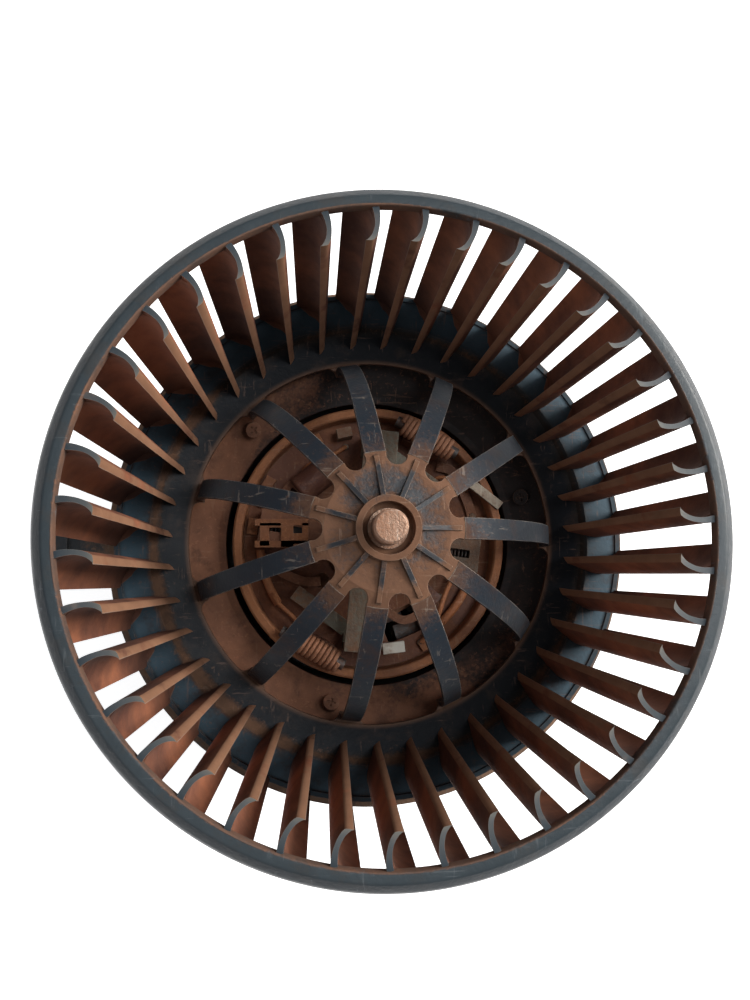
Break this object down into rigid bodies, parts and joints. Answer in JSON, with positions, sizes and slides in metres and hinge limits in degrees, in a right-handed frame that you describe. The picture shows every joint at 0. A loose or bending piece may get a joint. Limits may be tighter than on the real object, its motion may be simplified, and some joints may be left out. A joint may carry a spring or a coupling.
{
  "type": "blower",
  "caption": "Squirrel-cage blower: a cupped-blade wheel on the shaft of an open-brush DC motor, held in a flanged plastic cup, for a car's heater and ventilation.",
  "frame": {"origin": "on the motor axis, at the underside of the cup's flat floor", "axes": "+Z along the motor axis towards the open air intake; -Y on the side of the supply socket"},
  "size_m": [0.1706, 0.153, 0.13],
  "materials": {
    "wheel_plastic": "black moulded plastic, scuffed and dusty",
    "blade_plastic": "black plastic under a coat of rust-brown dust",
    "steel": "ground steel, tarnished",
    "spring_steel": "blued spring steel",
    "laminated_iron": "stacked laminations",
    "copper": "enamelled copper",
    "phenolic": "brown moulded insulation",
    "fibre_washer": "fibre",
    "plated_steel": "zinc plated, dull",
    "ferrite": "sintered ferrite",
    "bronze": "sintered bronze",
    "brass": "folded sheet",
    "carbon": "pressed carbon",
    "lead_sleeve": "insulated lead",
    "tinned_strip": "tinned",
    "capacitor_case": "dipped coating",
    "pale_nylon": "natural nylon",
    "collar_plastic": "plastic collar stained by dust",
    "damper_rubber": "soft black rubber",
    "carrier_plastic": "black moulded plastic, dusty inside",
    "connector_plastic": "black socket"
  },
  "bodies": {
    "motor": {"bearing_bridge": "plated_steel", "bearing_lower": "bronze", "bearing_upper": "bronze", "brush_holder_a": "brass", "brush_holder_b": "brass", "brush_plate": "phenolic", "brush_spring_a": "spring_steel", "brush_spring_b": "spring_steel", "bus_strip_a": "plated_steel", "bus_strip_b": "plated_steel", "capacitor": "capacitor_case", "carrier_bowl": "carrier_plastic", "carrier_cup": "carrier_plastic", "carrier_flange": "carrier_plastic", "carrier_floor": "carrier_plastic", "carrier_lug": "carrier_plastic", "carrier_ribs": "carrier_plastic", "carrier_screws": "plated_steel", "choke_core_a": "ferrite", "choke_core_b": "ferrite", "choke_cradle_a": "phenolic", "choke_cradle_b": "phenolic", "choke_winding_a": "copper", "choke_winding_b": "copper", "connector_pins": "tinned_strip", "connector_shell": "connector_plastic", "dampers": "damper_rubber", "lead_a": "lead_sleeve", "lead_b": "lead_sleeve", "lead_clip": "pale_nylon", "magnet_a": "ferrite", "magnet_b": "ferrite", "magnet_spring_a": "spring_steel", "magnet_spring_b": "spring_steel", "motor_can": "plated_steel", "motor_ring": "collar_plastic", "retainer_lower": "spring_steel", "retainer_upper": "spring_steel", "ring_snaps": "collar_plastic", "spacer_block": "pale_nylon", "supply_strip": "tinned_strip", "thermal_link": "capacitor_case"},
    "wheel": {"wheel_rim": "wheel_plastic", "wheel_blades": "blade_plastic", "wheel_base": "wheel_plastic", "wheel_spokes": "wheel_plastic", "wheel_hub": "wheel_plastic", "hub_ribs": "wheel_plastic", "hub_insert": "steel", "hub_clip": "spring_steel", "motor_shaft": "steel", "armature_core": "laminated_iron", "winding_lower": "copper", "winding_upper": "copper", "commutator_bars": "copper", "commutator_sleeve": "phenolic", "thrust_washer_lower": "fibre_washer", "thrust_washer_upper": "fibre_washer"},
    "brush_a": {"brush_a": "carbon"},
    "brush_b": {"brush_b": "carbon"}
  },
  "joints": [
    {"name": "wheel_spin", "type": "hinge", "parent": "motor", "child": "wheel", "pos_m": [0, 0, 0.07], "axis": [0, 0, 1], "continuous": true},
    {"name": "brush_a_slide", "type": "slide", "parent": "motor", "child": "brush_a", "axis": [0.9903, -0.1392, 0], "range_m": [0, 0.003], "stiffness_N_per_m": 120, "springref_m": -0.01, "deforming": ["brush_spring_a"]},
    {"name": "brush_b_slide", "type": "slide", "parent": "motor", "child": "brush_b", "axis": [-0.9903, 0.1392, 0], "range_m": [0, 0.003], "stiffness_N_per_m": 120, "springref_m": -0.01, "deforming": ["brush_spring_b"]}
  ]
}
